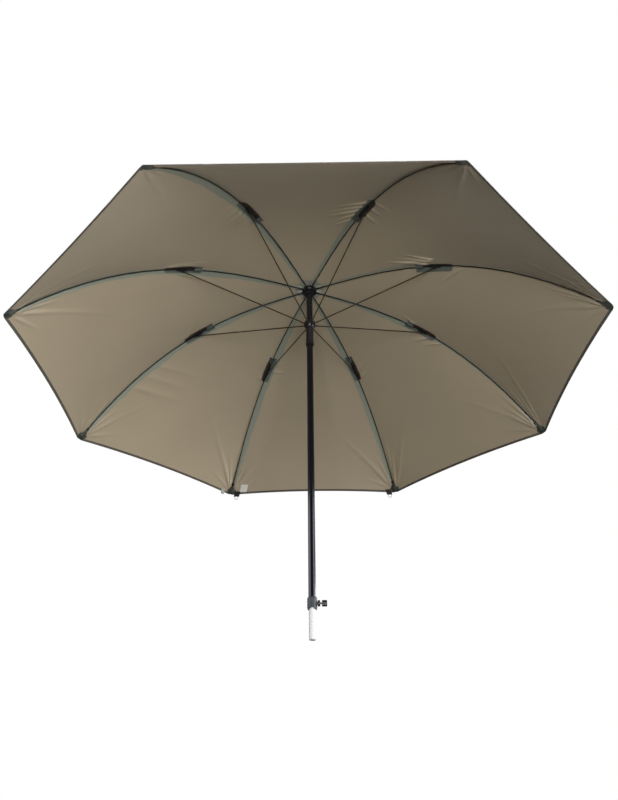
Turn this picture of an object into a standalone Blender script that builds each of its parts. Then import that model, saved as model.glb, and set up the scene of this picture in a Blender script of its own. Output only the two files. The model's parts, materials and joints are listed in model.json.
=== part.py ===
"""Fishing umbrella on a two-section pole, open as for use.

Metres, +Z up. The origin is the centre of the flat foot at the lower end of the pole.
Eight bent ribs hang from a slotted notch under the top cap. Each is propped by a stretcher
from the runner, which slides on the upper pole. The canopy is eight gores, one on each rib.
"""
import math

import bmesh
import bpy
from mathutils import Matrix, Vector

# Canopy and frame
rib_count = 8
first_rib_angle = math.radians(-22.5)
tip_radius = 1.11
crown_rise = 0.471
rib_curve_power = 2.75
rib_radius = 0.0025
rib_eye_radius = 0.0033
blade_thickness = 0.003
blade_length = 0.013
blade_overlap = 0.008
bracket_place_radius = 0.543
rib_end_short = 0.016
rib_eye_opening = math.radians(50)
closed_tip_radius = 0.072

# Heights on the pole
notch_height = 1.437
runner_drop = 0.183
collar_height = 0.114

# Clearances
clearance = 0.0003
slot_clearance = 0.0004
cut_overrun = 0.004
merge_distance = 0.000001

# Upper pole
upper_pole_radius = 0.0125
upper_pole_wall = 0.0012
upper_pole_bore = upper_pole_radius - upper_pole_wall
upper_pole_top_reach = 0.020

# Lower pole
lower_pole_radius = upper_pole_bore - clearance
lower_pole_wall = 0.0012
lower_pole_bore = lower_pole_radius - lower_pole_wall
lower_pole_room = 0.118
foot_plug_flange = 0.004
foot_rounding = 0.0025
plug_shank_length = 0.020
plug_core_radius = 0.006
guide_rounding = 0.0012

# Notch that carries the ribs
notch_radius = 0.0305
notch_top = 0.0065
notch_rim_low = -0.007
notch_skirt_radius = 0.0168
notch_skirt_low = -0.024
rib_hinge_radius = 0.022
hinge_wire_radius = 0.001
notch_chamfer = 0.002

# Runner that carries the stretchers
runner_ball_radius = 0.024
runner_hinge_radius = 0.020
runner_split = 0.002
runner_sleeve_radius = 0.015
runner_neck_drop = 0.019
runner_length_down = 0.106
runner_flange_radius = 0.0162
runner_flange_height = 0.012
runner_top_radius = 0.0145
grip_groove_count = 6
grip_groove_depth = 0.0007
grip_wall = 0.0035

# Stretchers
stretcher_radius = 0.0025
hook_wall = 0.002
stretcher_eye_radius = 0.004
flattened_height_share = 0.96
buried_height_share = 0.8
stretcher_eye_opening = math.radians(130)

# Brackets that join a stretcher to its rib
bracket_length = 0.044
bracket_pin_radius = 0.0015
bracket_pin_drop = 0.0045
bracket_web = 0.002
bracket_wall = 0.0022
bracket_wall_top = 0.0035
bracket_ear_thickness = 0.0025
bracket_ear_half_length = 0.009
bracket_ear_below_pin = 0.004

# Tip caps
tip_cap_length = 0.040
tip_cap_radius = 0.0045
tip_cap_nose = 0.0055
tip_wing_length = 0.016
tip_wing_half_width = 0.009
tip_wing_thickness = 0.0025
tip_wing_taper = 0.005

# Canopy cloth
cloth_thickness = 0.0012
cloth_offset = 0.0057
cloth_hub_lift = 0.0055
cloth_hub_lift_reach = 0.068
cloth_inner_radius = 0.016
crown_patch_radius = 0.070
crown_patch_thickness = 0.001

# Top cap
top_cap_flange_radius = 0.021
top_cap_flange = 0.003
top_cap_radius = 0.0165
top_cap_dome = 0.009
top_cap_wall = 0.004

# Clamp collar, screw and pad
collar_radius = 0.0164
collar_length = 0.040
collar_lip = 0.004
collar_top_radius = 0.0135
collar_top_height = 0.005
collar_foot_radius = 0.0148
collar_foot_height = 0.005
collar_groove_height = 0.011
collar_groove_depth = 0.0007
collar_groove_width = 0.0016
collar_window_width = 0.016
collar_window_height = 0.0036
boss_radius = 0.0046
boss_reach = 0.026
boss_ring_radius = 0.0098
boss_ring_start = 0.0175
boss_ring_end = 0.0255
boss_ring_chamfer = 0.0008
pad_radius = 0.0036
pad_length = 0.0042
pad_recess = 0.0025
stud_radius = 0.003
stud_tip_radius = 0.0015
screw_travel = 0.0025
knob_radius = 0.0104
knob_length = 0.0166
knob_start = 0.0313
knob_lobe_count = 8
knob_lobe_depth = 0.0010
knob_edge = 0.0012
knob_stud_depth = 0.010

# Runner catch, in a slot on the pole's far side
catch_length = 0.045
catch_gap_to_runner = 0.001
catch_pivot_offset = 0.005
catch_pin_radius = 0.0015
catch_pin_half_length = 0.0104
catch_thickness = 0.003
catch_eye_radius = 0.0035
catch_nose_depth = 0.0062
catch_heel_height = 0.012

# Facets
edge_angle = math.radians(30)
pole_sides = 28
fine_sides = 32
boss_sides = 16
small_sides = 12
rod_sides = 8
wire_sides = 6
inner_rib_steps = 5
outer_rib_steps = 8
cloth_steps = 18
half_panel_steps = 2
patch_steps = 3
eye_steps = 8
hook_steps = 7
ball_steps = 6
dome_steps = 6
corner_steps = 3
nose_steps = 4
nose_start = math.radians(10)
lobe_steps = 6


def srgb(code):
    """Linear colour of a six-digit sRGB hex code."""
    values = [int(code[n:n + 2], 16) / 255 for n in (0, 2, 4)]
    return [v / 12.92 if v <= 0.04045 else ((v + 0.055) / 1.055) ** 2.4 for v in values]


def finish(name, code, roughness, metallic):
    """Plain Principled material of one colour."""
    material = bpy.data.materials.new(name)
    material.use_nodes = True
    shader = material.node_tree.nodes["Principled BSDF"]
    shader.inputs["Base Color"].default_value = (*srgb(code), 1)
    shader.inputs["Roughness"].default_value = roughness
    shader.inputs["Metallic"].default_value = metallic
    return material


def arc(centre, radius, start, end, steps):
    """Points on a round stretch, from one angle to another, both ends included."""
    angles = [start + (end - start) * n / steps for n in range(steps + 1)]
    return [(centre[0] + radius * math.cos(a), centre[1] + radius * math.sin(a)) for a in angles]


def mesh_from(bm, name):
    """Closed, outward-facing mesh from a bmesh, smooth but for its real edges."""
    bmesh.ops.remove_doubles(bm, verts=bm.verts, dist=merge_distance)
    loose = [edge for edge in bm.edges if not edge.link_faces]
    bmesh.ops.delete(bm, geom=loose, context="EDGES")
    bmesh.ops.recalc_face_normals(bm, faces=bm.faces)
    mesh = bpy.data.meshes.new(name)
    bm.to_mesh(mesh)
    bm.free()
    mesh.shade_smooth()
    mesh.set_sharp_from_angle(angle=edge_angle)
    return mesh


def turned(name, profile, steps, axis="Z"):
    """Closed outline of (radius, height) points, turned round Z or laid along X."""
    bm = bmesh.new()
    corners = [bm.verts.new((radius, 0, height)) for radius, height in profile]
    edges = [bm.edges.new(pair) for pair in zip(corners, corners[1:] + corners[:1])]
    bmesh.ops.spin(
        bm, geom=corners + edges, cent=(0, 0, 0), axis=(0, 0, 1), angle=math.tau,
        steps=steps, use_merge=True, use_duplicate=False,
    )
    if axis == "X":
        bmesh.ops.rotate(bm, verts=bm.verts, matrix=Matrix.Rotation(math.pi / 2, 3, "Y"))
    return mesh_from(bm, name)


def plate(name, outline, thickness, along="Y"):
    """Closed outline of (x, z) points, given a thickness about its own plane."""
    bm = bmesh.new()
    face = bm.faces.new([bm.verts.new((x, -thickness / 2, z)) for x, z in outline])
    grown = bmesh.ops.extrude_face_region(bm, geom=[face])["geom"]
    moved = [item for item in grown if isinstance(item, bmesh.types.BMVert)]
    bmesh.ops.translate(bm, verts=moved, vec=(0, thickness, 0))
    if along == "X":
        bmesh.ops.rotate(bm, verts=bm.verts, matrix=Matrix.Rotation(math.pi / 2, 3, "Z"))
    return mesh_from(bm, name)


def rod(name, radius, start, end, sides):
    """Straight round bar between two points."""
    start = Vector(start)
    run = Vector(end) - start
    bm = bmesh.new()
    turn = run.to_track_quat("Z", "Y").to_matrix().to_4x4()
    place = Matrix.Translation(start + run / 2) @ turn
    bmesh.ops.create_cone(
        bm, cap_ends=True, segments=sides, radius1=radius, radius2=radius,
        depth=run.length, matrix=place,
    )
    return mesh_from(bm, name)


def radial_slots(name, inner, outer, width, low, high):
    """Eight upright slots, one at each rib, as one cutter."""
    bm = bmesh.new()
    for number in range(rib_count):
        size = Matrix.Diagonal((outer - inner, width, high - low, 1))
        place = Matrix.Translation(((inner + outer) / 2, 0, (low + high) / 2))
        turn = Matrix.Rotation(rib_angle(number), 4, "Z")
        bmesh.ops.create_cube(bm, size=1, matrix=turn @ place @ size)
    return mesh_from(bm, name)


def joined(name, mesh, others, operation):
    """Mesh after a Boolean with each of the others in turn."""
    body = bpy.data.objects.new(name, mesh)
    bpy.context.collection.objects.link(body)
    for other in others:
        tool = bpy.data.objects.new(name + "_tool", other)
        bpy.context.collection.objects.link(tool)
        modifier = body.modifiers.new(operation, "BOOLEAN")
        modifier.operation = operation
        modifier.solver = "EXACT"
        modifier.object = tool
        seen = body.evaluated_get(bpy.context.evaluated_depsgraph_get())
        result = bpy.data.meshes.new_from_object(seen)
        body.modifiers.clear()
        body.data = result
        bpy.data.objects.remove(tool)
    bpy.data.objects.remove(body)
    result.shade_smooth()
    result.set_sharp_from_angle(angle=edge_angle)
    return result


def add_piece(name, mesh, material, parent=None, location=(0, 0, 0), turn=(0, 0, 0)):
    """One named sub-part, placed under the empty that carries it."""
    own = mesh.copy()
    own.name = name
    own.materials.clear()
    own.materials.append(material)
    piece = bpy.data.objects.new(name, own)
    piece.location = location
    piece.rotation_euler = turn
    piece.parent = parent
    bpy.context.collection.objects.link(piece)
    return piece


def add_carrier(name, parent=None, location=(0, 0, 0), turn=(0, 0, 0)):
    """Empty on a joint's axis, which the moving pieces hang from."""
    carrier = bpy.data.objects.new(name, None)
    carrier.location = location
    carrier.rotation_euler = turn
    carrier.parent = parent
    bpy.context.collection.objects.link(carrier)
    return carrier


# Shape of the ribs and of the cloth over them

rib_span = tip_radius - rib_hinge_radius
half_panel = math.pi / rib_count


def rib_angle(number):
    return first_rib_angle + math.tau * number / rib_count


def rib_share(radius):
    return max(0, (radius - rib_hinge_radius) / rib_span)


def rib_point(radius):
    """Point of the rib's axis, outwards and upwards from its hinge."""
    return radius - rib_hinge_radius, -crown_rise * rib_share(radius) ** rib_curve_power


def rib_slope(radius):
    """Angle by which the rib runs down at this radius."""
    rate = crown_rise * rib_curve_power / rib_span * rib_share(radius) ** (rib_curve_power - 1)
    return math.atan(rate)


def above_rib(radius, offset):
    """Point at an offset square to the rib, on its upper side."""
    x, z = rib_point(radius)
    slope = rib_slope(radius)
    return x + offset * math.sin(slope), z + offset * math.cos(slope)


def chord(inner, outer):
    """Middle and downward angle of a straight stretch of the rib between two radii."""
    near = rib_point(inner)
    far = rib_point(outer)
    angle = math.atan2(near[1] - far[1], far[0] - near[0])
    return (near[0] + far[0]) / 2, (near[1] + far[1]) / 2, angle


def cloth_height(radius):
    """How far the cloth's inner face stands off the rib's axis."""
    nearness = max(0, 1 - (radius - cloth_inner_radius) / cloth_hub_lift_reach)
    return cloth_offset + cloth_hub_lift * nearness


# The rib runs straight through its bracket and its tip cap

bracket_half_span = bracket_length / 2 * math.cos(rib_slope(bracket_place_radius))
bracket_in_radius = bracket_place_radius - bracket_half_span
bracket_out_radius = bracket_place_radius + bracket_half_span
rib_end_radius = tip_radius - rib_end_short
cap_in_radius = rib_end_radius - tip_cap_length * math.cos(rib_slope(rib_end_radius))

# Fold of the frame, from open to closed

bracket_x, bracket_z, bracket_slope = chord(bracket_in_radius, bracket_out_radius)
web_top = -(rib_radius + clearance)
pin_depth = -web_top + bracket_web + bracket_pin_drop
pin_x = bracket_x - pin_depth * math.sin(bracket_slope)
pin_z = bracket_z - pin_depth * math.cos(bracket_slope)
foot_x = runner_hinge_radius - rib_hinge_radius
stretcher_length = math.hypot(pin_x - foot_x, pin_z + runner_drop)
open_elevation = math.atan2(pin_z + runner_drop, pin_x - foot_x)
tip_reach = math.hypot(rib_span, crown_rise)
tip_fall = math.atan2(crown_rise, rib_span)
fold_angle = math.acos((closed_tip_radius - rib_hinge_radius) / tip_reach) - tip_fall
closed_pin_x = pin_x * math.cos(fold_angle) + pin_z * math.sin(fold_angle)
closed_pin_z = pin_z * math.cos(fold_angle) - pin_x * math.sin(fold_angle)
closed_elevation = math.acos((closed_pin_x - foot_x) / stretcher_length)
closed_foot_z = closed_pin_z - stretcher_length * math.sin(closed_elevation)
runner_travel = -runner_drop - closed_foot_z

# Frame pieces


def between(start, end, steps):
    return [start + (end - start) * number / steps for number in range(steps + 1)]


def rib_mesh():
    """Round rod on the rib's curve, its inner end flattened to an eye on the notch wire."""
    curve = bpy.data.curves.new("rib_axis", "CURVE")
    curve.dimensions = "3D"
    curve.bevel_depth = rib_radius
    curve.bevel_resolution = 1
    curve.use_fill_caps = True
    spline = curve.splines.new("POLY")
    stations = between(rib_hinge_radius + blade_length, bracket_in_radius, inner_rib_steps)
    stations += between(bracket_out_radius, cap_in_radius, outer_rib_steps) + [rib_end_radius]
    spline.points.add(len(stations) - 1)
    for radius, point in zip(stations, spline.points):
        x, z = rib_point(radius)
        point.co = (x, 0, z, 1)
    axis = bpy.data.objects.new("rib_axis", curve)
    bpy.context.collection.objects.link(axis)
    seen = axis.evaluated_get(bpy.context.evaluated_depsgraph_get())
    bm = bmesh.new()
    bm.from_mesh(bpy.data.meshes.new_from_object(seen))
    bpy.data.objects.remove(axis)
    shaft = mesh_from(bm, "rib_shaft")
    height = rib_radius * flattened_height_share
    buried = rib_radius * buried_height_share
    opening = rib_eye_opening
    outline = arc((0, 0), rib_eye_radius, opening, math.tau - opening, eye_steps)
    outline += [(blade_length, -height), (blade_length + blade_overlap, -buried)]
    outline += [(blade_length + blade_overlap, buried), (blade_length, height)]
    blade = plate("rib_blade", outline, blade_thickness)
    hole = rod(
        "rib_hole", hinge_wire_radius + clearance, (0, -blade_thickness, 0),
        (0, blade_thickness, 0), small_sides,
    )
    blade = joined("rib_blade", blade, [hole], "DIFFERENCE")
    return joined("rib", shaft, [blade], "UNION")


def stretcher_mesh():
    """Tube with flattened ends, an eye at the rib bracket and an open hook at the runner.

    The origin is the bracket pin. The hook lies under the runner's wire, and is open over
    the directions in which the wire leaves it between the open and the closed frame.
    """
    height = stretcher_radius * flattened_height_share
    buried = stretcher_radius * buried_height_share
    start = -stretcher_length + blade_length
    shaft = rod("stretcher_shaft", stretcher_radius, (start, 0, 0), (-blade_length, 0, 0), rod_sides)

    open_low = math.pi / 2 - closed_elevation
    open_high = math.pi / 2 - open_elevation
    seat = hinge_wire_radius + clearance
    back = seat + hook_wall
    centre = (-stretcher_length, 0)
    outline = arc(centre, seat, open_high + math.pi / 2, open_low + math.pi * 3 / 2, hook_steps)
    clear_run = (height + seat / math.cos(open_low)) / math.tan(open_low)
    outline += [(centre[0] + clear_run, height), (start + blade_overlap, buried)]
    outline += [(start + blade_overlap, -buried), (start, -height)]
    outline += arc(centre, back, math.pi * 3 / 2, open_high + math.pi / 2, hook_steps)
    hook = plate("stretcher_hook", outline, blade_thickness)

    inner = -blade_length - blade_overlap
    outline = [(inner, -buried), (-blade_length, -height)]
    opening = stretcher_eye_opening
    outline += arc((0, 0), stretcher_eye_radius, -opening, opening, eye_steps)
    outline += [(-blade_length, height), (inner, buried)]
    eye = plate("stretcher_eye", outline, blade_thickness)
    hole = rod(
        "stretcher_hole", bracket_pin_radius + clearance, (0, -blade_thickness, 0),
        (0, blade_thickness, 0), small_sides,
    )
    eye = joined("stretcher_eye", eye, [hole], "DIFFERENCE")
    return joined("stretcher", shaft, [hook, eye], "UNION")


def bracket_mesh():
    """Saddle under the rib with two ears and a cross pin. The origin is on the rib's axis."""
    inside = rib_radius + clearance
    outside = inside + bracket_wall
    web_low = web_top - bracket_web
    half = [(inside, bracket_wall_top), (outside, bracket_wall_top), (outside, web_low)]
    outline = [(-y, z) for y, z in reversed(half)] + [(-inside, web_top), (inside, web_top)]
    saddle = plate("bracket_saddle", outline + half, bracket_length, along="X")
    gap = blade_thickness / 2 + slot_clearance
    ear_middle = gap + bracket_ear_thickness / 2
    low = -(pin_depth + bracket_ear_below_pin)
    reach = bracket_ear_half_length
    top = web_low + bracket_web / 2
    foot = bracket_ear_below_pin
    ear_outline = [(-reach, top), (reach, top), (foot, low + foot)]
    ear_outline += arc((0, -pin_depth), foot, 0, -math.pi, ball_steps)[1:]
    parts = []
    for side in (-1, 1):
        ear = plate("bracket_ear", list(reversed(ear_outline)), bracket_ear_thickness)
        ear.transform(Matrix.Translation((0, side * ear_middle, 0)))
        parts.append(ear)
    end = ear_middle + bracket_ear_thickness / 4
    parts.append(rod(
        "bracket_pin", bracket_pin_radius, (0, -end, -pin_depth), (0, end, -pin_depth),
        small_sides,
    ))
    return joined("bracket", saddle, parts, "UNION")


def tip_cap_mesh():
    """Blind moulded cap over the rib's end, with flat wings at its mouth that the pocket grips.

    It lies along X, with its origin on the rib's axis at the middle of its bore.
    """
    bore = rib_radius + clearance
    half = tip_cap_length / 2
    nose = half + clearance + tip_cap_nose
    profile = [(bore, -half), (tip_cap_radius, -half), (tip_cap_radius, half)]
    profile += arc(
        (0, nose - tip_cap_radius), tip_cap_radius, nose_start, math.pi / 2, nose_steps,
    )
    profile += [(0, half + clearance), (bore, half + clearance)]
    body = turned("tip_cap_body", profile, small_sides, axis="X")
    wing_end = -half + tip_wing_length
    seat = (bore + tip_cap_radius) / 2
    wings = []
    for side in (-1, 1):
        outline = [(-half, side * seat), (-half, side * tip_wing_half_width)]
        outline += [(wing_end - tip_wing_taper, side * tip_wing_half_width)]
        outline += [(wing_end, side * seat)]
        wing = plate("tip_wing", outline, tip_wing_thickness)
        wing.transform(Matrix.Rotation(math.pi / 2, 4, "X"))
        wings.append(wing)
    return joined("tip_cap", body, wings, "UNION")


def gore_mesh():
    """One gore of the canopy, centred on its rib: two flat-hooped half panels, creased there.

    It is in its rib's frame, where the pole's axis stands at x = -rib_hinge_radius.
    """
    bm = bmesh.new()
    bmesh.ops.create_grid(bm, x_segments=cloth_steps, y_segments=half_panel_steps * 2, size=1)
    grown = bmesh.ops.extrude_face_region(bm, geom=bm.faces[:])["geom"]
    upper = [item for item in grown if isinstance(item, bmesh.types.BMVert)]
    bmesh.ops.translate(bm, verts=upper, vec=(0, 0, 1))
    for vert in bm.verts:
        along = (vert.co.x + 1) / 2
        side = vert.co.y
        radius = cloth_inner_radius + (tip_radius - cloth_inner_radius) * along
        x, z = above_rib(radius, cloth_height(radius) + cloth_thickness * vert.co.z)
        ring = x + rib_hinge_radius
        half_chord = ring * math.sin(half_panel)
        reach = (half_chord - clearance / 2) * side
        inward = abs(reach) * math.sin(half_panel)
        vert.co = (x - inward, reach * math.cos(half_panel), z)
    return mesh_from(bm, "gore")


def crown_patch_mesh():
    """Eight-sided cloth washer inside the crown, over the notch. It is in the notch's frame."""
    upper = []
    lower = []
    for radius in between(cloth_inner_radius, crown_patch_radius, patch_steps):
        top = cloth_height(radius) - clearance
        x, z = above_rib(radius, top)
        upper.append((x + rib_hinge_radius, z))
        x, z = above_rib(radius, top - crown_patch_thickness)
        lower.append((x + rib_hinge_radius, z))
    mesh = turned("crown_patch", upper + lower[::-1], rib_count)
    mesh.transform(Matrix.Rotation(first_rib_angle, 4, "Z"))
    return mesh


def wire_ring(name, ring_radius):
    """Closed wire that the rib or stretcher ends hinge on."""
    last = math.tau * (wire_sides - 1) / wire_sides
    profile = arc((ring_radius, 0), hinge_wire_radius, 0, last, wire_sides - 1)
    return turned(name, profile, fine_sides)


def notch_mesh():
    """Turned disc with a trench for the wire and a slot for each rib. Origin in the hinge plane."""
    bore = upper_pole_radius + clearance
    trench_in = rib_hinge_radius - hinge_wire_radius - clearance
    trench_out = rib_hinge_radius + hinge_wire_radius + clearance
    floor = -hinge_wire_radius - clearance
    shoulder = notch_rim_low - notch_chamfer
    profile = [(bore, notch_top), (trench_in, notch_top), (trench_in, floor), (trench_out, floor)]
    profile += [(trench_out, notch_top), (notch_radius - notch_chamfer, notch_top)]
    profile += [(notch_radius, notch_top - notch_chamfer), (notch_radius, notch_rim_low)]
    profile += [(notch_radius - notch_chamfer, shoulder)]
    profile += [(notch_skirt_radius, shoulder - notch_chamfer)]
    profile += [(notch_skirt_radius, notch_skirt_low), (bore, notch_skirt_low)]
    disc = turned("notch", profile, fine_sides)
    slots = radial_slots(
        "notch_slots", rib_hinge_radius - rib_eye_radius - slot_clearance,
        notch_radius + cut_overrun, blade_thickness + slot_clearance * 2,
        notch_skirt_low - cut_overrun, rib_eye_radius + clearance,
    )
    return joined("notch", disc, [slots], "DIFFERENCE")


def runner_mesh():
    """Grip sleeve and lower half of the ball, slotted for the stretchers' hooks."""
    bore = upper_pole_radius + clearance
    trench_in = runner_hinge_radius - hinge_wire_radius - clearance
    trench_out = runner_hinge_radius + hinge_wire_radius + clearance
    floor = -hinge_wire_radius - clearance
    ball_end = math.asin(runner_neck_drop / runner_ball_radius)
    ball_start = math.asin(runner_split / runner_ball_radius)
    profile = [(bore, runner_split), (trench_in, runner_split), (trench_in, floor)]
    profile += [(trench_out, floor), (trench_out, runner_split)]
    profile += arc((0, 0), runner_ball_radius, ball_start, -ball_end, ball_steps)
    profile[-1] = (runner_sleeve_radius, -runner_neck_drop)
    flange_top = -runner_length_down + runner_flange_height
    pitch = (flange_top + runner_neck_drop) / (grip_groove_count + 1)
    groove = grip_wall - grip_groove_depth
    for number in range(grip_groove_count):
        middle = -runner_neck_drop + pitch * (number + 1)
        profile.append((runner_sleeve_radius, middle + groove / 2))
        profile.append((runner_sleeve_radius - grip_groove_depth, middle))
        profile.append((runner_sleeve_radius, middle - groove / 2))
    profile += [(runner_sleeve_radius, flange_top), (runner_flange_radius, flange_top - clearance)]
    profile += [(runner_flange_radius, -runner_length_down), (bore, -runner_length_down)]
    body = turned("runner", profile, fine_sides)
    slot_inner = trench_in - hook_wall - slot_clearance
    slots = radial_slots(
        "runner_slots", slot_inner, runner_ball_radius + cut_overrun,
        blade_thickness + slot_clearance * 2, -runner_ball_radius - cut_overrun,
        runner_split + cut_overrun,
    )
    return joined("runner", body, [slots], "DIFFERENCE")


def runner_cover_mesh():
    """Upper half of the ball, which closes the wire's trench and clears the folded stretchers."""
    bore = upper_pole_radius + clearance
    low = runner_split + clearance
    start = math.asin(low / runner_ball_radius)
    end = math.acos(runner_top_radius / runner_ball_radius)
    profile = [(bore, low)] + arc((0, 0), runner_ball_radius, start, end, ball_steps)
    profile += [(bore, profile[-1][1])]
    dome = turned("runner_cover", profile, fine_sides)
    slots = radial_slots(
        "cover_slots", runner_hinge_radius + hinge_wire_radius - clearance,
        runner_ball_radius + cut_overrun, blade_thickness + slot_clearance * 2,
        -cut_overrun, runner_ball_radius,
    )
    return joined("runner_cover", dome, [slots], "DIFFERENCE")


# Pole pieces

collar_low = collar_height - collar_length / 2
collar_high = collar_height + collar_length / 2
upper_pole_low = collar_low + collar_lip + clearance
upper_pole_high = notch_height + upper_pole_top_reach
catch_top = notch_height - runner_drop - runner_length_down - catch_gap_to_runner
catch_pivot_height = catch_top - catch_length
guide_high = catch_pivot_height - lower_pole_room
lower_pole_low = foot_plug_flange + clearance
lower_pole_high = guide_high - foot_plug_flange - clearance
pad_hole = pad_radius + clearance
stud_hole = stud_radius + clearance
pad_in = lower_pole_radius + clearance
pad_out = pad_in + pad_length


def tube_mesh(name, outside, inside, low, high):
    return turned(name, [(inside, high), (outside, high), (outside, low), (inside, low)], pole_sides)


def upper_pole_mesh():
    """Drawn tube, drilled for the clamp pad and the catch's pin and slotted for the catch."""
    tube = tube_mesh("tube", upper_pole_radius, upper_pole_bore, upper_pole_low, upper_pole_high)
    outside = upper_pole_radius + cut_overrun
    pad = rod("pad_cut", pad_hole, (0, 0, collar_height), (outside, 0, collar_height), small_sides)
    hole = rod(
        "pin_cut", catch_pin_radius + clearance,
        (-outside, catch_pivot_offset, catch_pivot_height),
        (outside, catch_pivot_offset, catch_pivot_height), small_sides,
    )
    width = catch_thickness + slot_clearance * 2
    low = catch_pivot_height + catch_heel_height - slot_clearance
    high = catch_top + slot_clearance
    outline = [(catch_pivot_offset, low), (outside, low), (outside, high)]
    outline += [(catch_pivot_offset, high)]
    slot = plate("slot_cut", outline, width, along="X")
    return joined("upper_pole", tube, [pad, hole, slot], "DIFFERENCE")


def plug_mesh(name, rounded):
    """Moulded plug with a flange of the lower pole's own radius, shank upwards."""
    shank = lower_pole_bore - clearance
    top = foot_plug_flange + clearance + plug_shank_length
    profile = [(0, foot_plug_flange), (plug_core_radius, foot_plug_flange)]
    profile += [(plug_core_radius, top), (shank, top), (shank, foot_plug_flange)]
    profile += [(lower_pole_radius, foot_plug_flange)]
    corner = (lower_pole_radius - rounded, rounded)
    profile += arc(corner, rounded, 0, -math.pi / 2, corner_steps)
    profile += [(0, 0)]
    return turned(name, profile, pole_sides)


def collar_mesh():
    """Moulded collar on the upper pole's lower end, with the boss that the clamp screw runs in."""
    bore = upper_pole_radius + clearance
    lip = lower_pole_radius + clearance
    shelf = collar_low + collar_lip
    groove = collar_low + collar_groove_height
    edge = collar_groove_width / 2
    profile = [(bore, collar_high), (collar_top_radius, collar_high)]
    profile += [(collar_radius, collar_high - collar_top_height), (collar_radius, groove + edge)]
    profile += [(collar_radius - collar_groove_depth, groove), (collar_radius, groove - edge)]
    profile += [(collar_radius, collar_low + collar_foot_height)]
    profile += [(collar_foot_radius, collar_low), (lip, collar_low)]
    profile += [(lip, shelf), (bore, shelf)]
    body = turned("collar", profile, fine_sides)
    middle = (bore + collar_radius) / 2
    boss = rod(
        "boss", boss_radius, (middle, 0, collar_height), (boss_reach, 0, collar_height),
        boss_sides,
    )
    body = joined("collar", body, [boss], "UNION")
    pad_end = pad_out + screw_travel + clearance
    pad = rod("pad_cut", pad_hole, (0, 0, collar_height), (pad_end, 0, collar_height), small_sides)
    end = boss_reach + cut_overrun
    stud = rod("stud_cut", stud_hole, (0, 0, collar_height), (end, 0, collar_height), small_sides)
    outside = collar_radius + cut_overrun
    half = collar_window_width / 2
    top = collar_low + collar_window_height
    bottom = collar_low - cut_overrun
    outline = [(-half, bottom), (half, bottom), (half, top), (-half, top)]
    window = plate("window_cut", outline, outside * 2)
    return joined("collar", body, [pad, stud, window], "DIFFERENCE")


def boss_ring_mesh():
    """Moulded ring pressed on the boss. Origin on the screw's axis."""
    inner = boss_radius + clearance
    edge = boss_ring_radius - boss_ring_chamfer
    profile = [(inner, boss_ring_start), (edge, boss_ring_start)]
    profile += [(boss_ring_radius, boss_ring_start + boss_ring_chamfer)]
    profile += [(boss_ring_radius, boss_ring_end - boss_ring_chamfer)]
    profile += [(edge, boss_ring_end), (inner, boss_ring_end)]
    return turned("boss_ring", profile, fine_sides, axis="X")


def pad_mesh():
    """Brass button between the screw and the lower pole. Origin on the screw's axis."""
    hole = stud_tip_radius + clearance
    bottom = pad_out - pad_recess
    profile = [(0, pad_in), (pad_radius, pad_in), (pad_radius, pad_out), (hole, pad_out)]
    profile += [(hole, bottom), (0, bottom)]
    return turned("pad", profile, small_sides, axis="X")


def stud_mesh():
    tip = pad_out - pad_recess + clearance
    shoulder = pad_out + clearance
    end = knob_start + knob_stud_depth - clearance
    profile = [(0, tip), (stud_tip_radius, tip), (stud_tip_radius, shoulder)]
    profile += [(stud_radius, shoulder), (stud_radius, end), (0, end)]
    return turned("stud", profile, small_sides, axis="X")


def knob_mesh():
    """Lobed thumb knob, moulded on the stud."""
    points = knob_lobe_count * lobe_steps
    mean = knob_radius - knob_lobe_depth / 2
    outline = []
    for number in range(points):
        angle = math.tau * number / points
        radius = mean + knob_lobe_depth / 2 * math.cos(knob_lobe_count * angle)
        outline.append((radius * math.cos(angle), radius * math.sin(angle)))
    bm = bmesh.new()
    end = knob_start + knob_length
    levels = [(knob_start, knob_edge), (knob_start + knob_edge, 0)]
    levels += [(end - knob_edge, 0), (end, knob_edge)]
    loops = []
    for x, inset in levels:
        share = 1 - inset / mean
        ring = [bm.verts.new((x, y * share, z * share)) for y, z in outline]
        loops.append([bm.edges.new(pair) for pair in zip(ring, ring[1:] + ring[:1])])
    for lower, upper in zip(loops, loops[1:]):
        bmesh.ops.bridge_loops(bm, edges=lower + upper)
    for loop in (loops[0], loops[-1]):
        bmesh.ops.contextual_create(bm, geom=loop)
    head = mesh_from(bm, "knob_head")
    depth = knob_start + knob_stud_depth
    hole = rod("knob_hole", stud_hole, (0, 0, 0), (depth, 0, 0), small_sides)
    return joined("knob", head, [hole], "DIFFERENCE")


def top_cap_mesh():
    """Moulded cap over the pole's top, its flange on the canopy. Origin in the hinge plane."""
    bore = upper_pole_radius + clearance
    low = above_rib(cloth_inner_radius, cloth_height(cloth_inner_radius) + cloth_thickness)[1]
    low += clearance
    roof = upper_pole_top_reach + clearance
    flange = low + top_cap_flange
    shoulder = roof + top_cap_wall / 2
    profile = [(bore, low), (top_cap_flange_radius, low)]
    profile += [(top_cap_flange_radius, low + top_cap_flange / 2), (top_cap_radius, flange)]
    for number in range(dome_steps):
        angle = math.pi / 2 * number / dome_steps
        profile.append((
            top_cap_radius * math.cos(angle), shoulder + top_cap_dome * math.sin(angle),
        ))
    profile += [(0, shoulder + top_cap_dome), (0, roof), (bore, roof)]
    return turned("top_cap", profile, pole_sides)


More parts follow.
